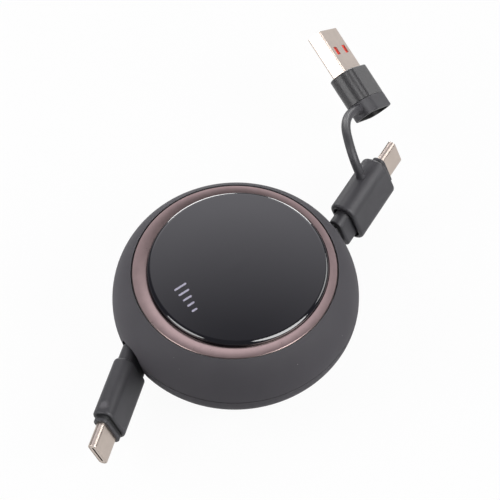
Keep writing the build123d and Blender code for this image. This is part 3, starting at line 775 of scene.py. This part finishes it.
adapterGloss = {
    "colour": (0.056, 0.055, 0.057, 1), "toneSpread": 0.03, "grainScale": 1500.0, "roughness": 0.27,
    "sheenSpread": 0.0, "dust": 0.3, "specular": 0.26, "bump": 0.0, "grainDepth": 0.03 * mm,
}
dress(mouldedMaterial("adapterGloss", adapterGloss), "adapter_body")
print("plug mouldings dressed")


# Plug metal: warm nickel plate

nickelPlate = {
    "colour": (0.505, 0.435, 0.388, 1), "stretch": (300.0, 300.0, 300.0), "roughness": 0.34,
    "lineDepth": 0.04, "bump": 0.0, "relief": 0.02 * mm,
}
nickelMaterial = metalMaterial("nickelPlate", nickelPlate)
dress(nickelMaterial, "device_plug_shell", "charger_plug_shell", "wide_plug_shell", "socket_shell")


# Insulators and boards

insulatorFinish = {
    "toneSpread": 0.08, "grainScale": 3000.0, "roughness": 0.45, "sheenSpread": 0.1, "dust": 0.0,
    "specular": 0.4, "bump": 0.05, "grainDepth": 0.02 * mm,
}
insulators = {
    "blackInsulator": ((0.02, 0.02, 0.021, 1), ("socket_tongue",)),
    "plugInsulator": ((0.30, 0.25, 0.22, 1), ("device_plug_insulator", "charger_plug_insulator")),
    "redInsulator": ((0.84, 0.045, 0.022, 1), ("wide_plug_insulator",)),
    "boardGreen": ((0.02, 0.10, 0.045, 1), ("device_plug_board", "charger_plug_board", "adapter_board")),
}
for name, (colour, pieces) in insulators.items():
    dress(mouldedMaterial(name, {"colour": colour, **insulatorFinish}), *pieces)


# Plug lips: the metal turned in round each slim plug's mouth

plugLip = {
    "slotWidth": 6.0 * mm, "slotHeight": 0.45 * mm, "setback": 0.03 * mm, "depth": 0.20 * mm,
    "gap": 0.02 * mm, "roundness": 0.49,   # corner radius as a share of the height
    "roundSteps": 6,
}


def lipSection(width, height):
    return roundedSection(width, height, height * plugLip["roundness"], plugLip["roundSteps"])


def addPlugLip(end):
    tip, axis, wide, thin = plugFrame(end)
    places = [vertex.co for vertex in nodes[end + "_plug_insulator"].data.vertices]
    spans = [[place.dot(direction) for place in places] for direction in (wide, thin)]
    outer = lipSection(*[max(span) - min(span) - 2 * plugLip["gap"] for span in spans])
    inner = lipSection(plugLip["slotWidth"], plugLip["slotHeight"])
    front = tip - axis * plugLip["setback"]
    rear = front - axis * plugLip["depth"]
    mesh = bmesh.new()
    loops = []
    for outline, centre in ((outer, front), (inner, front), (inner, rear), (outer, rear)):
        loops.append([mesh.verts.new(centre + wide * p.x + thin * p.y) for p in outline])
    for first, second in zip(loops, loops[1:] + loops[:1]):
        bridgeLoops(mesh, first, second)
    piece = meshPiece(end + "PlugLip", mesh, nickelMaterial)
    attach(piece, end + "_plug")


addPlugLip("device")
addPlugLip("charger")
print("plug lips drawn")


# Contacts: thin gold

goldFlash = {
    "colour": (0.80, 0.56, 0.22, 1), "stretch": (1500.0, 1500.0, 1500.0), "roughness": 0.25,
    "lineDepth": 0.1, "bump": 0.03, "relief": 0.02 * mm,
}
dress(
    metalMaterial("goldFlash", goldFlash),
    "device_plug_contacts", "charger_plug_contacts", "wide_plug_contacts", "socket_contacts",
)
print("connectors dressed")


# Inside of the puck: reel, spring, ball and screws

reelPlastic = {
    "colour": (0.46, 0.46, 0.44, 1), "toneSpread": 0.04, "grainScale": 2500.0, "roughness": 0.42,
    "sheenSpread": 0.1, "dust": 0.0, "specular": 0.4, "bump": 0.05, "grainDepth": 0.03 * mm,
}
dress(mouldedMaterial("reelPlastic", reelPlastic), "reel_drum", "spring_barrel", "spring_cover")
steelFinish = {"stretch": (400.0, 400.0, 3000.0), "lineDepth": 0.08, "bump": 0.04, "relief": 0.02 * mm}
innerSteel = {
    "spring": ((0.30, 0.31, 0.36, 1), 0.30, "main_spring"),
    "screw": ((0.42, 0.42, 0.44, 1), 0.28, "housing_screws"),
    "ball": ((0.70, 0.70, 0.72, 1), 0.08, "stop_ball"),
}
for name, (colour, roughness, piece) in innerSteel.items():
    finish = {"colour": colour, "roughness": roughness, **steelFinish}
    dress(metalMaterial(name + "Steel", finish), piece)
print("reel, spring, ball and screws dressed")


# Flat cable: the wound roll, and two leads that draw out of the puck with their plugs

cableJacket = {
    "colour": (0.055, 0.055, 0.057, 1), "toneSpread": 0.08, "grainScale": 3500.0, "roughness": 0.55,
    "sheenSpread": 0.14, "dust": 0.3, "specular": 0.42, "bump": 0.25, "grainDepth": 0.05 * mm,
}
jacketMaterial = mouldedMaterial("cableJacket", cableJacket)
dress(jacketMaterial, "cable_winding")

cordSteps = 40   # points along a cord's route between two of its own points
flatLead = {
    "section": (6.4 * mm, 1.4 * mm, 0.5 * mm, 4),   # width, thickness, corner radius and steps round a corner
    "routes": {
        "device": ((-15.889, 15.648, 9.15), (-27.119, 4.244, 7.779), (-29.845, 2.06, 7.986)),
        "charger": ((15.576, -15.958, 9.15), (30.793, -1.105, 8.338), (34.033, 0.145, 8.776)),
    },
}


def routeSpline(name, points):
    curve = bpy.data.curves.new(name, "CURVE")
    curve.dimensions = "3D"
    curve.resolution_u = cordSteps
    spline = curve.splines.new("NURBS")
    spline.points.add(len(points) - 1)
    for point, place in zip(spline.points, points):
        point.co = (*place, 1)
    spline.order_u = 3
    spline.use_endpoint_u = True
    return curve


def routePoints(name, points):
    # points read along the route's smooth line
    holder = bpy.data.objects.new(name, routeSpline(name, points))
    bpy.context.scene.collection.objects.link(holder)
    bpy.context.view_layer.update()
    line = bpy.data.meshes.new_from_object(holder)
    places = [vertex.co.copy() for vertex in line.vertices]
    bpy.data.objects.remove(holder)
    bpy.data.meshes.remove(line)
    return places


def sweptMesh(places, wideStart, wideEnd, outline):
    # outline carried along the places, its wide side turning evenly from one direction to the other
    mesh = bmesh.new()
    rings = []
    for i, place in enumerate(places):
        ahead = places[min(i + 1, len(places) - 1)] - places[max(i - 1, 0)]
        along = ahead.normalized()
        wide = wideStart.lerp(wideEnd, i / (len(places) - 1))
        wide = (wide - along * wide.dot(along)).normalized()
        thin = along.cross(wide)
        rings.append([mesh.verts.new(place + wide * p.x + thin * p.y) for p in outline])
    for lower, upper in zip(rings, rings[1:]):
        bridgeLoops(mesh, lower, upper, smooth=True)
    mesh.faces.new(rings[0][::-1])
    mesh.faces.new(rings[-1])
    return mesh


def addLead(end):
    start, bend, rear = [Vector(point) * mm for point in flatLead["routes"][end]]
    places = routePoints(end + "LeadRoute", (start, bend, rear))
    wideEnd = Vector(plugAxes[end][1])
    mesh = sweptMesh(places, Vector((0, 0, 1)), wideEnd, roundedSection(*flatLead["section"]))
    piece = meshPiece(end + "FlatLead", mesh, jacketMaterial)
    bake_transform(piece)
    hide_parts(end + "_cable_lead")


addLead("device")
addLead("charger")
print("cable leads drawn")


# Tether: a round rubber strand that arches from the sleeve to the adapter's collar

tetherStrand = {
    "radius": 1.25 * mm, "roundSteps": 20,
    "route": (
        (46.592, 7.669, 18.259), (44.982, 9.458, 25.045), (51.854, 22.249, 24.471), (59.32, 25.06, 18.442),
    ),
}


def addTether():
    route = [Vector(point) * mm for point in tetherStrand["route"]]
    steps = tetherStrand["roundSteps"]
    angles = [2 * pi * i / steps for i in range(steps)]
    outline = [Vector((cos(angle), sin(angle))) * tetherStrand["radius"] for angle in angles]
    places = routePoints("tetherRoute", route)
    side = (route[1] - route[0]).cross(route[3] - route[0]).normalized()
    piece = meshPiece("tetherStrand", sweptMesh(places, side, side, outline), rubberMaterial)
    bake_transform(piece)
    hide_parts("tether")


addTether()
print("tether drawn")
